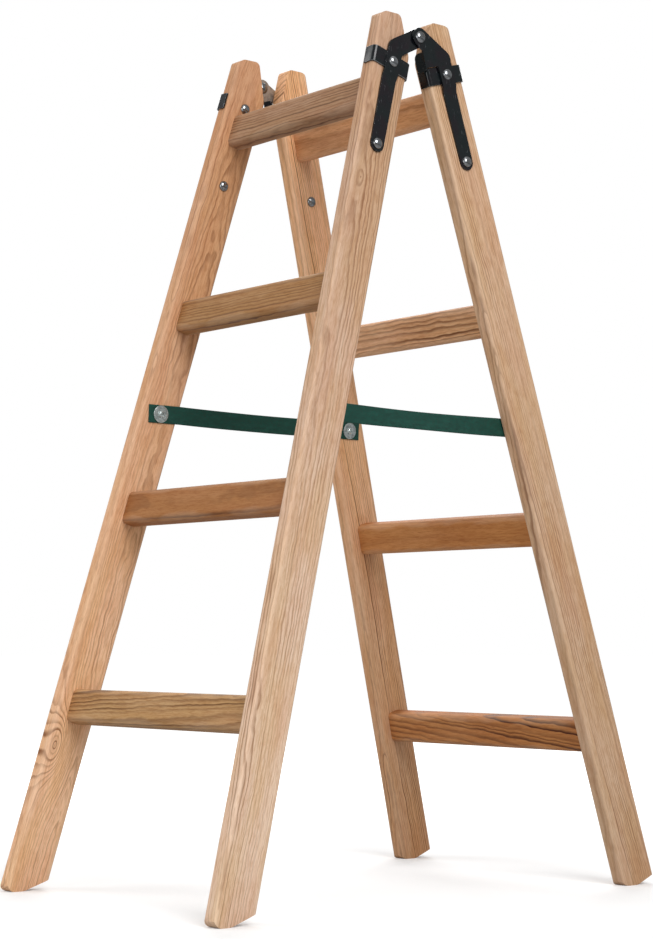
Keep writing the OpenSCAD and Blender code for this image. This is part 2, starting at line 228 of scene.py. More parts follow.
def make_pine_figure():
    """Growth rings round a heart beside the timber, and the fibres between them."""
    tree, given, ends = new_tree(
        "pine figure", "ShaderNodeTree",
        {"Place": "vector",
         **values("Heart X", "Heart Y", "Lean X", "Lean Y", "Ring", "Late From", "Wave", "Ripple",
                  "Knot X", "Knot Z", "Knot Size", "Knot Reach")},
        values("Late Wood", "Streak", "Fibre", "Pore", "Cloud", "Blush", "Knot"))
    place = given["Place"]
    at = parts_of(tree, place)
    shakes = [(parts_of(tree, noise(tree, scaled(tree, place, cells), detail=1.0, output=1)),
               given[label], share)
              for cells, label, share in ((WAVE_CELLS, "Wave", 1.0), (RIPPLE_CELLS, "Ripple", 1.0),
                                          (FINE_RIPPLE_CELLS, "Ripple", FINE_RIPPLE_SHARE))]
    spot = []
    for axis, heart, lean in ((0, "Heart X", "Lean X"), (1, "Heart Y", "Lean Y")):
        way = sum_of(tree, "SUBTRACT", at[axis], given[heart])
        way = sum_of(tree, "MULTIPLY_ADD", at[2], given[lean], way)
        for shake, amount, share in shakes:
            off = sum_of(tree, "MULTIPLY", sum_of(tree, "SUBTRACT", shake[axis], 0.5), share)
            way = sum_of(tree, "MULTIPLY_ADD", off, amount, way)
        spot.append(way)
    reach = sum_of(tree, "SQRT", sum_of(tree, "MULTIPLY_ADD", spot[0], spot[0],
                                        sum_of(tree, "MULTIPLY", spot[1], spot[1])))
    # Where a face runs along a ring or straight across the rings, its late wood is paler
    least = sum_of(tree, "MINIMUM", *[sum_of(tree, "ABSOLUTE", way) for way in spot])
    flat = sum_of(tree, "DIVIDE", least, reach)
    # A knot holds the rings level round itself and lifts them into nested ovals
    size = given["Knot Size"]
    across = sum_of(tree, "DIVIDE", sum_of(tree, "SUBTRACT", at[0], given["Knot X"]), size)
    along = sum_of(tree, "DIVIDE", sum_of(tree, "SUBTRACT", at[2], given["Knot Z"]),
                   sum_of(tree, "MULTIPLY", size, KNOT_LENGTH))
    near = sum_of(tree, "MULTIPLY_ADD", across, across, sum_of(tree, "MULTIPLY", along, along))
    fall = sum_of(tree, "MULTIPLY", sum_of(tree, "POWER", near, KNOT_SHAPE), -KNOT_FALL)
    swell = sum_of(tree, "EXPONENT", fall)
    hold = sum_of(tree, "MULTIPLY", sum_of(tree, "POWER", swell, HOLD_SHAPE), HOLD)
    gap = sum_of(tree, "SUBTRACT", given["Knot Reach"], reach)
    reach = sum_of(tree, "MULTIPLY_ADD", hold, gap, reach)
    rise = sum_of(tree, "MULTIPLY", size, KNOT_RISE)
    reach = sum_of(tree, "MULTIPLY_ADD", swell, rise, reach)
    streak = noise(tree, scaled(tree, place, STREAK_CELLS), detail=3.0, roughness=0.6)
    reach = sum_of(tree, "MULTIPLY_ADD", streak, STREAK_SHIFT, reach)
    rings = sum_of(tree, "DIVIDE", reach, given["Ring"])
    crowd = add(tree, "ShaderNodeTexNoise", {"W": rings, "Scale": CROWD_CELLS, "Detail": 1.0},
                noise_dimensions="1D").outputs[0]
    rings = sum_of(tree, "ADD", rings, sum_of(tree, "MULTIPLY", crowd, CROWDING))
    part = sum_of(tree, "FRACT", rings)
    weight = add(tree, "ShaderNodeTexWhiteNoise", {"W": sum_of(tree, "FLOOR", rings)},
                 noise_dimensions="1D").outputs[0]
    patch = noise(tree, scaled(tree, place, PATCH_CELLS), detail=1.0)
    late = sum_of(tree, "MULTIPLY", eased(tree, part, given["Late From"], LATE_FULL),
                  eased(tree, part, LATE_END, 1.0, 1.0, 0.0))
    for share in (eased(tree, weight, 0.0, 1.0, 0.35, 1.0), eased(tree, patch, 0.3, 0.7, 0.45, 1.0),
                  eased(tree, flat, 0.02, 0.35, 0.6, 1.0)):
        late = sum_of(tree, "MULTIPLY", late, share)
    fibre = noise(tree, scaled(tree, place, FIBRE_CELLS), detail=3.0, roughness=0.7)
    pore = eased(tree, noise(tree, scaled(tree, place, PORE_CELLS), detail=1.0), 0.62, 0.76)
    tint = parts_of(tree, noise(tree, scaled(tree, place, TINT_CELLS), detail=3.0, output=1))
    finish_with(tree, ends, {"Late Wood": late, "Streak": streak, "Fibre": fibre, "Pore": pore,
                             "Cloud": tint[0], "Blush": tint[1], "Knot": swell})
    return tree


def make_rubbed_edge_highlight():
    """Long corners of a timber, paler where hands and the sander have rubbed it, with a painted
    highlight along them.
    """
    tree, given, ends = new_tree(
        "rubbed edge highlight", "ShaderNodeTree",
        {"Place": "vector", **values("Half Depth", "Half Thickness", "Band")}, values("Mask"))
    at = parts_of(tree, given["Place"])
    inside = [sum_of(tree, "SUBTRACT", given[half], sum_of(tree, "ABSOLUTE", at[axis]))
              for axis, half in ((0, "Half Depth"), (1, "Half Thickness"))]
    far = sum_of(tree, "ADD", *inside)
    patch = noise(tree, scaled(tree, given["Place"], RUB_CELLS), detail=3.0)
    wide = sum_of(tree, "MULTIPLY", given["Band"], eased(tree, patch, 0.3, 0.7, 0.5, 1.3))
    mask = eased(tree, sum_of(tree, "DIVIDE", far, wide), 0.25, 1.0, 1.0, 0.0)
    finish_with(tree, ends, {"Mask": mask})
    return tree


def make_scuffs():
    """Fine dust, dull patches and thin scratches on metal."""
    tree, given, ends = new_tree("scuffs", "ShaderNodeTree",
                                 {"Place": "vector", "Amount": "value"},
                                 values("Dull", "Scratch", "Grain"))
    place, amount = given["Place"], given["Amount"]
    dull = eased(tree, noise(tree, place, 70, 4.0, 0.6), 0.38, 0.72)
    dull = sum_of(tree, "MULTIPLY", dull, amount)
    fine = eased(tree, noise(tree, scaled(tree, place, SCRATCH_CELLS), detail=1.0), 0.66, 0.72)
    broken = eased(tree, noise(tree, place, 130, 2.0), 0.5, 0.66)
    scratch = sum_of(tree, "MULTIPLY", fine, sum_of(tree, "MULTIPLY", broken, amount))
    grain = noise(tree, place, 1400, 2.0, 0.6)
    finish_with(tree, ends, {"Dull": dull, "Scratch": scratch, "Grain": grain})
    return tree


def make_weave():
    """Ribbed narrow weave: ribs along the webbing, stepped by half a pick from rib to rib."""
    tree, given, ends = new_tree("weave", "ShaderNodeTree",
                                 values("Along", "Across", "Rib", "Pick"),
                                 values("Height", "Thread"))
    rib = sum_of(tree, "DIVIDE", given["Across"], given["Rib"])
    row = sum_of(tree, "FLOOR", rib)
    step = sum_of(tree, "MULTIPLY", sum_of(tree, "MODULO", row, 2.0), 0.5)
    pick = sum_of(tree, "ADD", sum_of(tree, "DIVIDE", given["Along"], given["Pick"]), step)
    crown, bead = [sum_of(tree, "SINE", sum_of(tree, "MULTIPLY", sum_of(tree, "FRACT", count), pi))
                   for count in (rib, pick)]
    height = sum_of(tree, "MULTIPLY", crown, sum_of(tree, "MULTIPLY_ADD", bead, 0.6, 0.4))
    cell = point_of(tree, row, sum_of(tree, "FLOOR", pick))
    thread = add(tree, "ShaderNodeTexWhiteNoise", {"Vector": cell},
                 noise_dimensions="2D").outputs[0]
    finish_with(tree, ends, {"Height": height, "Thread": thread})
    return tree


pine_figure, rubbed_edge_highlight, scuffs, weave = (
    make_pine_figure(), make_rubbed_edge_highlight(), make_scuffs(), make_weave())


# Finishes
def new_finish(name, **plain):
    """A material, its tree and its shader's inputs, with the plain values set on the shader."""
    material = bpy.data.materials.new(name)
    material.use_nodes = True
    shader = material.node_tree.nodes["Principled BSDF"]
    for label, value in plain.items():
        shader.inputs[label.replace("_", " ")].default_value = value
    return material, material.node_tree, shader.inputs


def bump(tree, inputs, height, distance, strength):
    feeds = {"Height": height, "Distance": distance, "Strength": strength}
    tree.links.new(add(tree, "ShaderNodeBump", feeds).outputs[0], inputs["Normal"])


# What darkens pine: part of the figure, its range, amount and shade
PINE_SHADES = (("Cloud", 0.36, 0.66, 0.6, tone(244, 234, 208)),
               ("Blush", 0.40, 0.70, 0.5, tone(243, 224, 214)),
               ("Streak", 0.42, 0.70, 0.25, tone(220, 200, 178)),
               ("Fibre", 0.40, 0.66, 0.65, tone(224, 206, 186)),
               ("Pore", 0.0, 1.0, 0.4, tone(190, 160, 132)))
KNOT_CORE, KNOT_SHADE = (0.72, 1.0), tone(130, 92, 62)
# Paler long corners: partly rubbed wear, partly a painted highlight along the arrises
RUBBED_HIGHLIGHT, RUBBED_HIGHLIGHT_SHADE = 0.18, tone(232, 208, 182)
# Painted shade on the stiles, darker towards the top and towards the foot where less light fell:
# from and to, in metres from the pins, and the shade
PAINTED_TOP_SHADE = (-1.1, 0.0, tone(218, 206, 198))
PAINTED_FOOT_SHADE = (-0.2, -1.15, tone(206, 200, 194))


def pine(name, timber, half, early, late, heart, ring=0.0045, late_from=0.4, wave=0.02,
         ripple=0.0045, lean=(0.01, 0.0), contrast=1.0, knot=(0.0, 1.0, 0.01), core=0.2,
         painted_top_shade=0.0, painted_foot_shade=0.0):
    """Planed and oiled pine, its figure set in the timber's own frame."""
    material, tree, inputs = new_finish(name, Specular_IOR_Level=0.22)
    place = add(tree, "ShaderNodeMapping",
                {"Vector": own_place(tree), "Location": timber.to_translation(),
                 "Rotation": timber.to_euler("XYZ")}, vector_type="TEXTURE").outputs[0]
    knot_x, knot_z, knot_size = knot
    knot_reach = hypot(knot_x - heart[0] + knot_z * lean[0], knot_z * lean[1] - heart[1])
    figure = placed(tree, pine_figure, {
        "Place": place, "Heart X": heart[0], "Heart Y": heart[1], "Lean X": lean[0],
        "Lean Y": lean[1], "Ring": ring, "Late From": late_from, "Wave": wave, "Ripple": ripple,
        "Knot X": knot_x, "Knot Z": knot_z, "Knot Size": knot_size, "Knot Reach": knot_reach})
    edge = placed(tree, rubbed_edge_highlight, {"Place": place, "Half Depth": half[0],
                                      "Half Thickness": half[1], "Band": RUBBED_HIGHLIGHT_BAND})["Mask"]
    rings = sum_of(tree, "MULTIPLY", figure["Late Wood"],
                   sum_of(tree, "ADD", figure["Knot"], contrast))
    colour = mixed(tree, rings, early, late)
    for label, low, high, amount, shade in (*PINE_SHADES, ("Knot", *KNOT_CORE, core, KNOT_SHADE)):
        mask = eased(tree, figure[label], low, high, 0.0, amount)
        colour = mixed(tree, mask, colour, shade, "MULTIPLY")
    # Painted highlight and rubbed wear along the long corners
    colour = mixed(tree, sum_of(tree, "MULTIPLY", edge, RUBBED_HIGHLIGHT), colour, RUBBED_HIGHLIGHT_SHADE)
    along = parts_of(tree, place)[2]
    # Painted shade: each stile darkened towards its top and its foot, in place of light falling off
    # there
    for (start, end, shade), amount in ((PAINTED_TOP_SHADE, painted_top_shade), (PAINTED_FOOT_SHADE, painted_foot_shade)):
        if amount:
            mask = eased(tree, along, start, end, 0.0, amount)
            colour = mixed(tree, mask, colour, shade, "MULTIPLY")
    tree.links.new(colour, inputs["Base Color"])
    polish = sum_of(tree, "MULTIPLY_ADD", figure["Fibre"], 0.5, rings)
    tree.links.new(eased(tree, polish, 0.0, 1.3, 0.66, 0.54), inputs["Roughness"])
    height = sum_of(tree, "MULTIPLY_ADD", figure["Fibre"], 0.4,
                    sum_of(tree, "MULTIPLY", rings, 0.15))
    height = sum_of(tree, "MULTIPLY_ADD", figure["Pore"], -0.5, height)
    bump(tree, inputs, height, 0.0003, 0.25)
    return material


def make_black_enamel():
    """Gloss black enamel on pressed steel, with dust and fine scratches."""
    material, tree, inputs = new_finish("black enamel", Coat_Roughness=0.06,
                                        Specular_IOR_Level=0.15)
    place = own_place(tree)
    marks = placed(tree, scuffs, {"Place": place, "Amount": 1.0})
    tint = eased(tree, noise(tree, place, 34, 2.0), 0.40, 0.60)
    colour = mixed(tree, tint, tone(3, 14, 16), tone(14, 5, 14))
    for label, shade in (("Dull", tone(22, 30, 32)), ("Scratch", tone(96, 100, 104))):
        colour = mixed(tree, sum_of(tree, "MULTIPLY", marks[label], 0.6), colour, shade)
    tree.links.new(colour, inputs["Base Color"])
    tree.links.new(eased(tree, marks["Dull"], 0.0, 1.0, 0.2, 0.36), inputs["Roughness"])
    tree.links.new(eased(tree, marks["Dull"], 0.0, 1.0, 0.65, 0.3), inputs["Coat Weight"])
    height = sum_of(tree, "MULTIPLY_ADD", marks["Scratch"], -0.5, noise(tree, place, 150, 2.0))
    bump(tree, inputs, height, 0.0004, 0.15)
    return material


def make_rubbed_steel():
    """Cut edges of the steel, the enamel thin and rubbed through."""
    material, tree, inputs = new_finish("rubbed steel edge", Specular_IOR_Level=0.5)
    place = own_place(tree)
    marks = placed(tree, scuffs, {"Place": place, "Amount": 1.0})
    bare = eased(tree, noise(tree, place, 110, 4.0, 0.65), 0.36, 0.56)
    colour = mixed(tree, bare, tone(34, 36, 40), tone(168, 174, 178))
    grain = eased(tree, marks["Grain"], 0.4, 0.7, 0.0, 0.35)
    colour = mixed(tree, grain, colour, tone(120, 122, 124), "MULTIPLY")
    tree.links.new(colour, inputs["Base Color"])
    tree.links.new(bare, inputs["Metallic"])
    tree.links.new(eased(tree, marks["Grain"], 0.3, 0.7, 0.24, 0.42), inputs["Roughness"])
    bump(tree, inputs, marks["Grain"], 0.0001, 0.2)
    return material


def make_painted_reflection_steel():
    """The hinge plates' inner faces, pale grey steel that paints in the bright reflection they
    show.
    """
    material, tree, inputs = new_finish("painted reflection steel", Metallic=0.8)
    place = own_place(tree)
    marks = placed(tree, scuffs, {"Place": place, "Amount": 1.0})
    mist = eased(tree, noise(tree, place, 90, 4.0, 0.6), 0.45, 0.75)
    colour = mixed(tree, mist, tone(172, 166, 158), tone(92, 90, 88))
    colour = mixed(tree, marks["Scratch"], colour, tone(200, 198, 194))
    tree.links.new(colour, inputs["Base Color"])
    tree.links.new(eased(tree, marks["Grain"], 0.3, 0.7, 0.34, 0.5), inputs["Roughness"])
    bump(tree, inputs, marks["Grain"], 0.0001, 0.2)
    return material


def make_zinc(name, metal, clean, dim, smooth, rough):
    """Zinc plating with a faint bloom."""
    material, tree, inputs = new_finish(name, Metallic=metal)
    place = own_place(tree)
    marks = placed(tree, scuffs, {"Place": place, "Amount": 0.8})
    bloom = eased(tree, noise(tree, place, 240, 3.0), 0.35, 0.7)
    colour = mixed(tree, bloom, clean, dim)
    dull = sum_of(tree, "MULTIPLY", marks["Dull"], 0.5)
    colour = mixed(tree, dull, colour, tone(150, 150, 150), "MULTIPLY")
    tree.links.new(colour, inputs["Base Color"])
    worn = sum_of(tree, "ADD", eased(tree, marks["Dull"], 0.0, 1.0, smooth, rough),
                  sum_of(tree, "MULTIPLY", marks["Scratch"], 0.15))
    tree.links.new(worn, inputs["Roughness"])
    height = sum_of(tree, "MULTIPLY_ADD", marks["Scratch"], -1.0, marks["Grain"])
    bump(tree, inputs, height, 0.0001, 0.15)
    return material


def make_green_webbing():
    """Dark green woven webbing."""
    material, tree, inputs = new_finish("green webbing", Sheen_Weight=0.08, Sheen_Roughness=0.4,
                                        Specular_IOR_Level=0.3)
    place = add(tree, "ShaderNodeUVMap", uv_map="weave").outputs[0]
    at = parts_of(tree, place)
    cloth = placed(tree, weave, {"Along": at[0], "Across": at[1], "Rib": WEAVE_RIB,
                                 "Pick": WEAVE_PICK})
    worn = noise(tree, scaled(tree, place, (60, 160, 0)), detail=4.0, roughness=0.6)
    colour = mixed(tree, cloth["Height"], tone(5, 37, 30), tone(15, 71, 60))
    thread = eased(tree, cloth["Thread"], 0.0, 1.0, 0.0, 0.35)
    colour = mixed(tree, thread, colour, tone(20, 86, 72))
    colour = mixed(tree, eased(tree, worn, 0.45, 0.75, 0.0, 0.3), colour, tone(32, 92, 80))
    tree.links.new(colour, inputs["Base Color"])
    tree.links.new(eased(tree, cloth["Thread"], 0.0, 1.0, 0.5, 0.72), inputs["Roughness"])
    bump(tree, inputs, cloth["Height"], 0.0003, 0.6)
    return material


black_enamel, rubbed_steel, painted_reflection_steel, green_webbing = (
    make_black_enamel(), make_rubbed_steel(), make_painted_reflection_steel(), make_green_webbing())
bright_zinc = make_zinc("bright zinc", 1.0, tone(160, 164, 168), tone(134, 134, 132), 0.13, 0.28)
dull_zinc = make_zinc("dull zinc", 0.75, tone(210, 220, 219), tone(168, 176, 175), 0.24, 0.44)


# Making pieces
MERGE_WITHIN = 2e-6
FLAT_WITHIN, EASED_ABOVE = radians(0.4), radians(38)


def shown(name, mesh, *finishes):
    piece = bpy.data.objects.new(name, mesh)
    bpy.context.scene.collection.objects.link(piece)
    for finish in finishes:
        mesh.materials.append(finish)
    return piece


def made_plain(piece):
    """Turns what the modifiers make into a plain mesh."""
    graph = bpy.context.evaluated_depsgraph_get()
    mesh = bpy.data.meshes.new_from_object(piece.evaluated_get(graph))
    mesh.name = piece.name
    piece.modifiers.clear()
    piece.data = mesh
    return piece


def carried(node, name, ease, steps, *finishes):
    """A merged copy of a node's mesh, its edges eased; a second finish goes on those edges."""
    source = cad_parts[node].data
    mesh = bpy.data.meshes.new(name)
    mesh.from_pydata([point.co for point in source.vertices], [],
                     [list(face.vertices) for face in source.polygons])
    shape = bmesh.new()
    shape.from_mesh(mesh)
    bmesh.ops.remove_doubles(shape, verts=shape.verts, dist=MERGE_WITHIN)
    bmesh.ops.dissolve_limit(shape, angle_limit=FLAT_WITHIN, verts=shape.verts, edges=shape.edges)
    shape.to_mesh(mesh)
    shape.free()
    mesh.shade_smooth()
    piece = shown(name, mesh, *finishes)
    bevel = piece.modifiers.new("eased edges", "BEVEL")
    bevel.width, bevel.segments = ease, steps
    bevel.limit_method, bevel.angle_limit = "ANGLE", EASED_ABOVE
    bevel.material = len(finishes) - 1
    piece.modifiers.new("even shading", "WEIGHTED_NORMAL").keep_sharp = True
    return made_plain(piece)


def stand_in(piece, leaf, slot, *nodes):
    """Attaches a piece to the leaf it moves with and hides the nodes it stands for; the slot is not
    used.
    """
    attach(piece, f"{leaf}_leaf")
    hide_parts(*nodes)


# Stiles and rungs
STILES = {
    ("front", "right"): dict(
        early=tone(239, 211, 187), late=tone(162, 122, 91), heart=(0.020, -0.022), ring=0.0038,
        lean=(0.008, 0.030), ripple=0.006, knot=(0.015, -0.226, 0.0026), core=1.0,
        contrast=0.88, painted_top_shade=0.95),
    ("rear", "right"): dict(
        early=tone(218, 185, 155), late=tone(144, 105, 76), heart=(0.070, 0.030), ring=0.0032,
        lean=(0.022, 0.0), ripple=0.005, painted_foot_shade=0.2),
    ("front", "left"): dict(
        early=tone(248, 205, 168), late=tone(156, 108, 73), heart=(-0.004, -0.024), ring=0.0034,
        lean=(-0.010, 0.032), ripple=0.008, knot=(0.019, -0.990, 0.023), contrast=0.72,
        painted_top_shade=1.0),
    ("rear", "left"): dict(
        early=tone(250, 203, 162), late=tone(142, 98, 66), heart=(0.085, 0.030), ring=0.0030,
        contrast=1.1, painted_foot_shade=0.8),
}
RUNGS = {
    ("front", 1): dict(
        early=tone(172, 136, 107), late=tone(95, 63, 41), heart=(-0.020, 0.050), ring=0.0040),
    ("front", 2): dict(
        early=tone(175, 134, 91), late=tone(106, 69, 38), heart=(0.030, 0.060), ring=0.0045),
    ("front", 3): dict(
        early=tone(175, 123, 78), late=tone(112, 71, 40), heart=(0.090, 0.010), ring=0.0050,
        contrast=0.9),
    ("front", 4): dict(
        early=tone(196, 157, 112), late=tone(102, 66, 34), heart=(-0.030, -0.045), ring=0.0052,
        late_from=0.2, ripple=0.006, lean=(0.0, 0.05)),
    ("rear", 1): dict(
        early=tone(230, 176, 131), late=tone(150, 99, 63), heart=(0.060, 0.020), ring=0.0050,
        contrast=0.8),
    ("rear", 2): dict(
        early=tone(230, 185, 147), late=tone(116, 73, 45), heart=(-0.025, 0.045), ring=0.0070,
        late_from=0.25, ripple=0.009, lean=(0.05, 0.0)),
    ("rear", 3): dict(
        early=tone(198, 138, 84), late=tone(140, 88, 50), heart=(0.090, -0.020), ring=0.0060,
        contrast=0.6),
    ("rear", 4): dict(
        early=tone(198, 138, 86), late=tone(82, 40, 15), heart=(-0.004, -0.040), ring=0.0080,
        late_from=0.2, ripple=0.010, lean=(0.0, 0.11), contrast=1.2),
}


def make_stiles():
    for (leaf, hand), look in STILES.items():
        node = f"{leaf}_stile_{hand}"
        out, _, up = stile_axes(leaf, hand)
        timber = turned(out, up, on_stile(leaf, hand, LEAF_MID, 0, 0))
        half = STILE_DEPTH / 2, FACE
        finish = pine(f"pine {leaf} {hand} stile", timber, half, **look)
        piece = carried(node, f"{node}_timber", STILE_EASE, 3, finish)
        stand_in(piece, leaf, "stile_wood", node)


def make_rungs():
    for (leaf, count), look in RUNGS.items():
        node = f"{leaf}_rung_{count}"
        out, _ = leaf_axes(leaf)
        low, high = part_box(node)
        middle = (Vector(low) + Vector(high)) / 2
        timber = turned(out, Vector((0, 1, 0)), middle)
        half = RUNG_DEPTH / 2, RUNG_HEIGHT / 2
        finish = pine(f"pine {leaf} rung {count}", timber, half, **look)
        piece = carried(node, f"{node}_timber", RUNG_EASE, 2, finish)
        stand_in(piece, leaf, "rung_wood", node)


# Hinge plates and bands
def make_hinge_steel():
    """Enamelled steel with rubbed edges; the plates' faces towards the middle take pale grey steel,
    a painted reflection.
    """
    for leaf in LEAVES:
        for hand in HANDS:
            for part in ("hinge_plate", "band"):
                node = f"{leaf}_{part}_{hand}"
                piece = carried(node, f"{node}_steel", STEEL_EASE, 2, black_enamel, rubbed_steel)
                if part == "hinge_plate":
                    # Painted reflection: the faces towards the middle take pale grey steel in place
                    # of the bright reflection they show
                    piece.data.materials.append(painted_reflection_steel)
                    for face in piece.data.polygons:
                        if face.normal.dot(side_of(hand)) < -0.9:
                            face.material_index = 2
                stand_in(piece, leaf, "black_steel", node)


# Fasteners, repeated by Geometry Nodes
DOME_ANGLE = radians(86)
FULL_TURN = 6.28
RIVET_SEED, SCREW_SEED, WASHER_SEED = 3, 11, 5
SHANK_SIDES = 24
LEAST_GRIP = 0.0001


def named_value(tree, name, kind):
    return add(tree, "GeometryNodeInputNamedAttribute", {"Name": name}, data_type=kind).outputs[0]


def position_of(tree):
    return parts_of(tree, add(tree, "GeometryNodeInputPosition").outputs[0])


def domed(tree, width, height, around, rise):
    """A closed low dome that stands on its seat at z = 0."""
    drum = add(tree, "GeometryNodeMeshCylinder",
               {"Vertices": around, "Side Segments": rise, "Radius": 1.0, "Depth": 1.0},
               fill_type="NGON").outputs["Mesh"]
    at = position_of(tree)
    angle = sum_of(tree, "MULTIPLY", sum_of(tree, "ADD", at[2], 0.5), DOME_ANGLE)
    half = sum_of(tree, "MULTIPLY", width, 0.5)
    pull = sum_of(tree, "MULTIPLY", sum_of(tree, "COSINE", angle), half)
    lift = sum_of(tree, "MULTIPLY", sum_of(tree, "SINE", angle), height)
    spot = point_of(tree, sum_of(tree, "MULTIPLY", at[0], pull),
                    sum_of(tree, "MULTIPLY", at[1], pull), lift)
    return add(tree, "GeometryNodeSetPosition", {"Geometry": drum, "Position": spot}).outputs[0]


def shank(tree, width):
    """A rod of unit length under its seat."""
    rod = add(tree, "GeometryNodeMeshCylinder",
              {"Vertices": SHANK_SIDES, "Radius": sum_of(tree, "MULTIPLY", width, 0.5),
               "Depth": 1.0}).outputs["Mesh"]
    return add(tree, "GeometryNodeTransform",
               {"Geometry": rod, "Translation": (0, 0, -0.5)}).outputs[0]


def repeated(tree, points, shape, turn, seed, only=None, scale=None):
    """A shape on each point, along the point's axis, turned about it by a seeded amount."""
    face = add(tree, "FunctionNodeAlignRotationToVector",
               {"Vector": named_value(tree, "axis", "FLOAT_VECTOR")}, axis="Z").outputs[0]
    feeds = {"Points": points, "Instance": shape, "Rotation": face}
    if only:
        feeds["Selection"] = only
    if scale:
        feeds["Scale"] = scale
    stood = add(tree, "GeometryNodeInstanceOnPoints", feeds).outputs[0]
    chance = add(tree, "FunctionNodeRandomValue", {2: 0.0, 3: turn, "Seed": seed},
                 data_type="FLOAT").outputs[1]
    return add(tree, "GeometryNodeRotateInstances",
               {"Instances": stood, "Rotation": point_of(tree, z=chance)}).outputs[0]


def joined(tree, ends, shapes, finish):
    join = add(tree, "GeometryNodeJoinGeometry")
    for shape in shapes:
        tree.links.new(shape, join.inputs[0])
    real = add(tree, "GeometryNodeRealizeInstances", {0: join.outputs[0]}).outputs[0]
    smooth = add(tree, "GeometryNodeSetShadeSmooth", {0: real}).outputs[0]
    done = add(tree, "GeometryNodeSetMaterial", {"Geometry": smooth, "Material": finish}).outputs[0]
    finish_with(tree, ends, {"Fasteners": done})


def headed(tree, given, ends, head, seed):
    """A head on each seat; a seat with a grip also carries the shank under its head."""
    grip = named_value(tree, "grip", "FLOAT")
    held = add(tree, "FunctionNodeCompare", {0: grip, 1: LEAST_GRIP}, data_type="FLOAT",
               operation="GREATER_THAN").outputs[0]
    heads = repeated(tree, given["Seats"], head, FULL_TURN, seed)
    shanks = repeated(tree, given["Seats"], shank(tree, given["Shank Width"]), 0.0, seed, held,
                      point_of(tree, 1.0, 1.0, grip))
    joined(tree, ends, (heads, shanks), given["Finish"])
    return tree


def make_rivet_tree():
    """Round-headed rivets."""
    tree, given, ends = new_tree(
        "round rivets", "GeometryNodeTree",
        {"Seats": "shape", **values("Head Width", "Head Height", "Shank Width"),
         "Finish": "finish"}, {"Fasteners": "shape"})
    head = domed(tree, given["Head Width"], given["Head Height"], 40, 10)
    return headed(tree, given, ends, head, RIVET_SEED)


def make_screw_tree():
    """Pan-headed screws with a cross recess."""
    tree, given, ends = new_tree(
        "cross screws", "GeometryNodeTree",
        {"Seats": "shape", **values("Head Width", "Head Height", "Shank Width", "Recess", "Slot"),
         "Finish": "finish"}, {"Fasteners": "shape"})
    head = domed(tree, given["Head Width"], given["Head Height"], 64, 22)
    at = position_of(tree)
    flat = [sum_of(tree, "ABSOLUTE", at[axis]) for axis in (0, 1)]
    slim, wide = (sum_of(tree, operation, *flat) for operation in ("MINIMUM", "MAXIMUM"))
    in_slot = eased(tree, sum_of(tree, "DIVIDE", slim, given["Slot"]), 0.4, 0.62, 1.0, 0.0)
    in_cross = eased(tree, sum_of(tree, "DIVIDE", wide, given["Head Width"]), 0.22, 0.3, 1.0, 0.0)
    on_top = eased(tree, sum_of(tree, "DIVIDE", at[2], given["Head Height"]), 0.3, 0.5)
    depth = sum_of(tree, "MULTIPLY", sum_of(tree, "MULTIPLY", in_slot, in_cross),
                   sum_of(tree, "MULTIPLY", on_top, given["Recess"]))
    sunk = point_of(tree, z=sum_of(tree, "MULTIPLY", depth, -1.0))
    head = add(tree, "GeometryNodeSetPosition", {"Geometry": head, "Offset": sunk}).outputs[0]
    return headed(tree, given, ends, head, SCREW_SEED)


def make_washer_tree():
    """Flat washers with rounded rims."""
    tree, given, ends = new_tree(
        "wide washers", "GeometryNodeTree",
        {"Seats": "shape", **values("Width", "Hole", "Thickness", "Rim"), "Finish": "finish"},
        {"Fasteners": "shape"})
    width, hole, thick = given["Width"], given["Hole"], given["Thickness"]
    middle = sum_of(tree, "MULTIPLY", sum_of(tree, "ADD", width, hole), 0.25)
    land = sum_of(tree, "MULTIPLY", sum_of(tree, "SUBTRACT", width, hole), 0.5)
    path = add(tree, "GeometryNodeCurvePrimitiveCircle",
               {"Resolution": 56, "Radius": middle}).outputs[0]
    section = add(tree, "GeometryNodeCurvePrimitiveQuadrilateral",
                  {"Width": land, "Height": thick}).outputs[0]
    section = add(tree, "GeometryNodeFilletCurve",
                  {"Curve": section, "Count": 3, "Radius": given["Rim"]}, mode="POLY").outputs[0]
    ring = add(tree, "GeometryNodeCurveToMesh",
               {"Curve": path, "Profile Curve": section}).outputs[0]
    lift = point_of(tree, z=sum_of(tree, "MULTIPLY", thick, 0.5))
    ring = add(tree, "GeometryNodeTransform", {"Geometry": ring, "Translation": lift}).outputs[0]
    rings = repeated(tree, given["Seats"], ring, FULL_TURN, WASHER_SEED)
    joined(tree, ends, (rings,), given["Finish"])
    return tree


def fasteners(name, tree, seats, sizes, finish, leaf, *nodes):
    """One mesh of fasteners for a leaf; seats are (place, axis, grip)."""
    mesh = bpy.data.meshes.new(name)
    mesh.from_pydata([place for place, _, _ in seats], [], [])
    axis = mesh.attributes.new("axis", "FLOAT_VECTOR", "POINT")
    axis.data.foreach_set("vector", [c for _, way, _ in seats for c in way])
    grip = mesh.attributes.new("grip", "FLOAT", "POINT")
    grip.data.foreach_set("value", [long for _, _, long in seats])
    piece = shown(name, mesh)
    modifier = piece.modifiers.new("repeat", "NODES")
    modifier.node_group = tree
    given = {**sizes, "Finish": finish}
    for socket in tree.interface.items_tree:
        if socket.in_out == "INPUT" and socket.name in given:
            modifier[socket.identifier] = given[socket.name]
    made_plain(piece)
    piece.data.set_sharp_from_angle(angle=radians(42))
    stand_in(piece, leaf, "zinc_steel", *nodes)


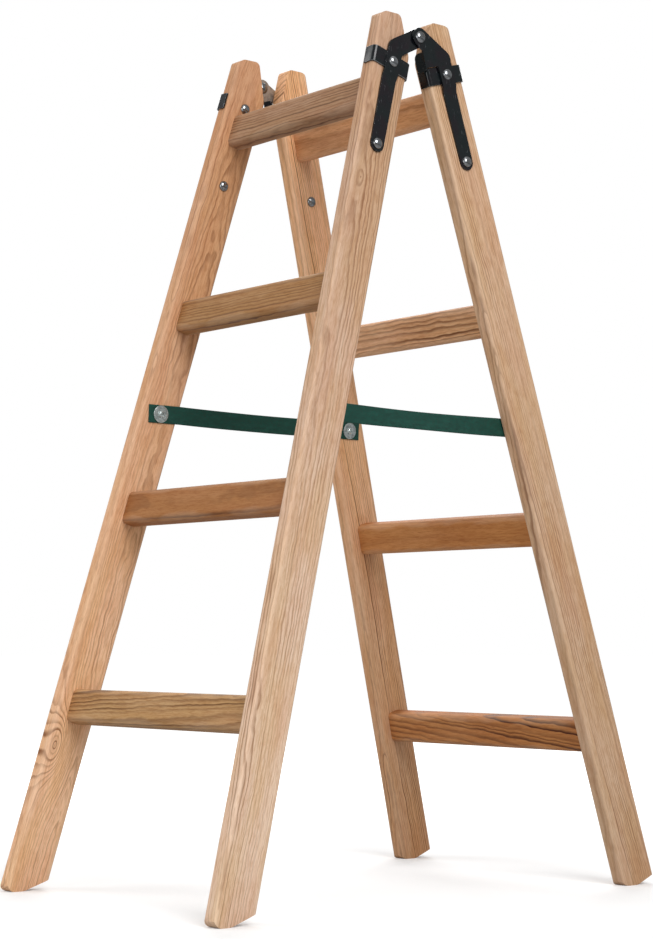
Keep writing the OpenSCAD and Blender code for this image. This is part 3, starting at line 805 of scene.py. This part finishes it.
def make_leaf_rivets(leaf, rivets):
    """Rivets through plate, band and stile, and through plate and stile."""
    sizes = {"Head Width": RIVET_HEAD, "Head Height": HEAD_HEIGHT, "Shank Width": RIVET_SHANK}
    inner = FACE + SEAT_GAP
    for part, drop, outer in (("band", BAND_DROP, FACE + 2 * PLATE + 3 * SEAT_GAP),
                              ("strap", STRAP_RIVET_DROP, FACE + PLATE + 2 * SEAT_GAP)):
        seats = []
        for hand in HANDS:
            cheek = stile_axes(leaf, hand)[1]
            seats += [(on_stile(leaf, hand, LEAF_MID, outer, -drop), cheek, outer + inner),
                      (on_stile(leaf, hand, LEAF_MID, -inner, -drop), -cheek, 0)]
        node = f"{leaf}_{part}_rivets"
        fasteners(f"{node}_zinc", rivets, seats, sizes, bright_zinc, leaf, node)


def make_webbing_screws(leaf, washers, screws):
    """Washers and screws that hold the webbing to a leaf's stiles."""
    seat = FACE + WEB_THICK + 2 * SEAT_GAP
    under_head = seat + WASHER_THICK + SEAT_GAP
    ring, pan = [], []
    for hand in HANDS:
        cheek, drop = stile_axes(leaf, hand)[1], WEB_DROP[hand]
        ring.append((on_stile(leaf, hand, LEAF_MID, -seat, -drop), -cheek, 0))
        pan.append((on_stile(leaf, hand, LEAF_MID, -under_head, -drop), -cheek,
                    under_head - FACE + SCREW_LENGTH))
    sizes = {"Width": WASHER, "Hole": WASHER_HOLE, "Thickness": WASHER_THICK, "Rim": WASHER_RIM}
    node = f"{leaf}_washers"
    fasteners(f"{node}_zinc", washers, ring, sizes, dull_zinc, leaf, node)
    sizes = {"Head Width": SCREW_HEAD, "Head Height": SCREW_HEAD_HEIGHT,
             "Shank Width": SCREW_SHANK, "Recess": RECESS_DEPTH, "Slot": RECESS_SLOT}
    node = f"{leaf}_screws"
    fasteners(f"{node}_zinc", screws, pan, sizes, dull_zinc, leaf, node)


def make_hinge_pins(rivets):
    """Pins through the two eyes on each side, headed at both ends."""
    bend = -BAND_DROP + BAND_HEIGHT / 2 + BEND_LAP
    outer_eye = side_y(FACE + PLATE, bend) + 2 * SEAT_GAP
    inner_eye = outer_eye - PLATE - EYE_GAP
    outer, inner = outer_eye + PLATE + SEAT_GAP, inner_eye - SEAT_GAP
    pin = Vector((0, 0, PIN_HEIGHT))
    seats = []
    for hand in HANDS:
        side = side_of(hand)
        seats += [(pin + side * outer, side, outer - inner), (pin + side * inner, -side, 0)]
    sizes = {"Head Width": PIN_HEAD, "Head Height": HEAD_HEIGHT, "Shank Width": PIN_SHANK}
    fasteners("hinge_pins_zinc", rivets, seats, sizes, bright_zinc, "front",
              "hinge_pin_right", "hinge_pin_left")


def make_fasteners():
    rivets, screws, washers = make_rivet_tree(), make_screw_tree(), make_washer_tree()
    for leaf in LEAVES:
        make_leaf_rivets(leaf, rivets)
        make_webbing_screws(leaf, washers, screws)
    make_hinge_pins(rivets)


# Webbing: thickness across half its width, thicker at the selvedge
SELVEDGE = ((0.0, 0.30), (0.02, 0.78), (0.06, 1.0), (0.12, 0.96), (0.2, 0.86), (0.35, 0.86),
            (0.5, 0.86))
SPAN_STEPS, TAIL_STEPS = 30, 8


def webbing_section():
    """The closed outline across the webbing, as width and thickness from its middle."""
    rise = [(-0.5 + at, thick) for at, thick in SELVEDGE]
    fall = [(-at, thick) for at, thick in reversed(rise[:-1])]
    top = [(at * WEB_WIDTH, thick * WEB_THICK / 2) for at, thick in rise + fall]
    return top + [(w, -t) for w, t in reversed(top)]


def make_webbing(hand):
    """One strap: flat on the two stiles, leaning and sagging a little between them."""
    screw = on_stile("rear", hand, LEAF_MID, -FACE, -WEB_DROP[hand])
    level = (screw.z - PIN_HEIGHT - LEAF_IN * sin(HALF_ANGLE)) / cos(HALF_ANGLE)
    edge = LEAF_IN * cos(HALF_ANGLE) - level * sin(HALF_ANGLE)
    end = screw.x + WEB_TAIL
    tilt, turn = atan(tan(SPLAY) * cos(HALF_ANGLE)), tan(SPLAY) * sin(HALF_ANGLE)
    side = side_of(hand)
    start = side * side_y(-FACE, level) + Vector((0, 0, screw.z))
    inward = -side * cos(tilt) - Vector((0, 0, sin(tilt)))
    upward = -side * sin(tilt) + Vector((0, 0, cos(tilt)))
    span = [edge * k / SPAN_STEPS for k in range(-SPAN_STEPS, SPAN_STEPS + 1)]
    tails = [edge + (end - edge) * k / TAIL_STEPS for k in range(1, TAIL_STEPS + 1)]
    along = [-x for x in reversed(tails)] + span + tails
    loop = webbing_section()
    verts, places = [], []
    for x in along:
        free = max(0.0, 1 - (x / edge) ** 2)
        lean, sag = WEB_LEAN * free ** 2, -WEB_SAG * free
        out = SEAT_GAP + WEB_THICK / 2 - max(0.0, abs(x) - edge) * turn
        for w, t in loop:
            verts.append(start + Vector((x, 0, 0))
                         + inward * (out + t * cos(lean) + w * sin(lean))
                         + upward * (sag + w * cos(lean) - t * sin(lean)))
            places.append((x + end, w + WEB_WIDTH / 2))
    around, last = len(loop), len(along) - 1
    faces = [(i * around + j, i * around + (j + 1) % around,
              (i + 1) * around + (j + 1) % around, (i + 1) * around + j)
             for i in range(last) for j in range(around)]
    faces += [tuple(range(around))[::-1], tuple(last * around + j for j in range(around))]
    mesh = bpy.data.meshes.new(f"webbing_{hand}_cloth")
    mesh.from_pydata(verts, [], faces)
    uv = mesh.uv_layers.new(name="weave")
    for corner in mesh.loops:
        uv.data[corner.index].uv = places[corner.vertex_index]
    shape = bmesh.new()
    shape.from_mesh(mesh)
    bmesh.ops.recalc_face_normals(shape, faces=shape.faces)
    shape.to_mesh(mesh)
    shape.free()
    mesh.shade_smooth()
    mesh.set_sharp_from_angle(angle=radians(60))
    piece = shown(f"webbing_{hand}_cloth", mesh, green_webbing)
    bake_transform(piece)
    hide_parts(f"webbing_{hand}")


# Floor, light and camera
FLOOR_HALF = 40
# Name, place, aim, size and power
LIGHTS = (("right key", (-0.9, -3.5, 2.9), (0, 0, 0.4), 2.3, 118),
          ("left key", (-4.2, -1.0, 1.2), (0, 0, 0.4), 2.6, 40),
          ("back", (1.9, 2.2, 3.0), (0, 0, 0.5), 2.2, 78),
          ("back fill", (-2.3, 1.9, 2.8), (0, 0, 0.5), 2.0, 30),
          ("overhead", (-0.4, -0.4, 3.4), (0, 0, 0.6), 2.4, 6))
ROOM_LIGHT = 0.36
CAMERA_PLACE = (-1.84320, -2.18544, 0.33073)
YAW, PITCH, ROLL = radians(39.910), radians(2.571), radians(0.226)
LENS, SENSOR, SHIFT_UP = 80.16, 36, 0.0852


def for_camera(tree, others, camera):
    """One shader for what lights the ladder and another for what the camera sees."""
    seen = add(tree, "ShaderNodeLightPath").outputs["Is Camera Ray"]
    return add(tree, "ShaderNodeMixShader", {0: seen, 1: others, 2: camera}).outputs[0]


def make_floor():
    """A pale floor; the timber sees it greyer than the camera does, as on a studio sweep."""
    far = FLOOR_HALF
    mesh = bpy.data.meshes.new("floor")
    mesh.from_pydata([(-far, -far, 0), (far, -far, 0), (far, far, 0), (-far, far, 0)], [],
                     [(0, 1, 2, 3)])
    material, tree, inputs = new_finish("pale floor", Roughness=0.8, Emission_Strength=0.72,
                                        Specular_IOR_Level=0.0)
    place = own_place(tree)
    away = add(tree, "ShaderNodeVectorMath", {0: place}, operation="LENGTH").outputs["Value"]
    glow = mixed(tree, eased(tree, away, 0.4, 2.4), tone(125, 125, 125), WHITE)
    tree.links.new(glow, inputs["Emission Color"])
    pale = mixed(tree, noise(tree, place, 6, 3.0), tone(240, 240, 240), tone(234, 234, 234))
    tree.links.new(pale, inputs["Base Color"])
    grey = add(tree, "ShaderNodeBsdfDiffuse", {"Color": tone(176, 176, 176)}).outputs[0]
    both = for_camera(tree, grey, tree.nodes["Principled BSDF"].outputs[0])
    tree.links.new(both, tree.nodes["Material Output"].inputs["Surface"])
    shown("floor", mesh, material)


def make_light():
    """Soft lights round the ladder, in a room that the camera sees as white."""
    world = bpy.data.worlds.new("studio")
    bpy.context.scene.world = world
    world.use_nodes = True
    tree = world.node_tree
    soft = tree.nodes["Background"]
    soft.inputs["Color"].default_value = WHITE
    soft.inputs["Strength"].default_value = ROOM_LIGHT
    white = add(tree, "ShaderNodeBackground", {"Color": WHITE, "Strength": 1.0})
    both = for_camera(tree, soft.outputs[0], white.outputs[0])
    tree.links.new(both, tree.nodes["World Output"].inputs["Surface"])
    for name, place, aim, size, power in LIGHTS:
        light = bpy.data.lights.new(name, "AREA")
        light.size, light.energy = size, power
        lamp = bpy.data.objects.new(name, light)
        lamp.location = place
        lamp.rotation_euler = (Vector(aim) - Vector(place)).to_track_quat("-Z", "Y").to_euler()
        bpy.context.scene.collection.objects.link(lamp)
    bpy.context.scene.view_settings.view_transform = "Standard"


def make_camera():
    ahead = Vector((sin(YAW) * cos(PITCH), cos(YAW) * cos(PITCH), sin(PITCH)))
    right = Vector((cos(YAW), -sin(YAW), 0))
    up = right.cross(ahead)
    right, up = right * cos(ROLL) + up * sin(ROLL), up * cos(ROLL) - right * sin(ROLL)
    lens = bpy.data.cameras.new("camera")
    lens.lens, lens.sensor_width = LENS, SENSOR
    lens.shift_y = SHIFT_UP
    camera = bpy.data.objects.new("camera", lens)
    camera.matrix_world = (Matrix.Translation(CAMERA_PLACE)
                           @ Matrix((right, up, -ahead)).transposed().to_4x4())
    bpy.context.scene.collection.objects.link(camera)
    bpy.context.scene.camera = camera


make_stiles()
make_rungs()
make_hinge_steel()
make_fasteners()
for hand in HANDS:
    make_webbing(hand)
make_floor()
make_light()
make_camera()
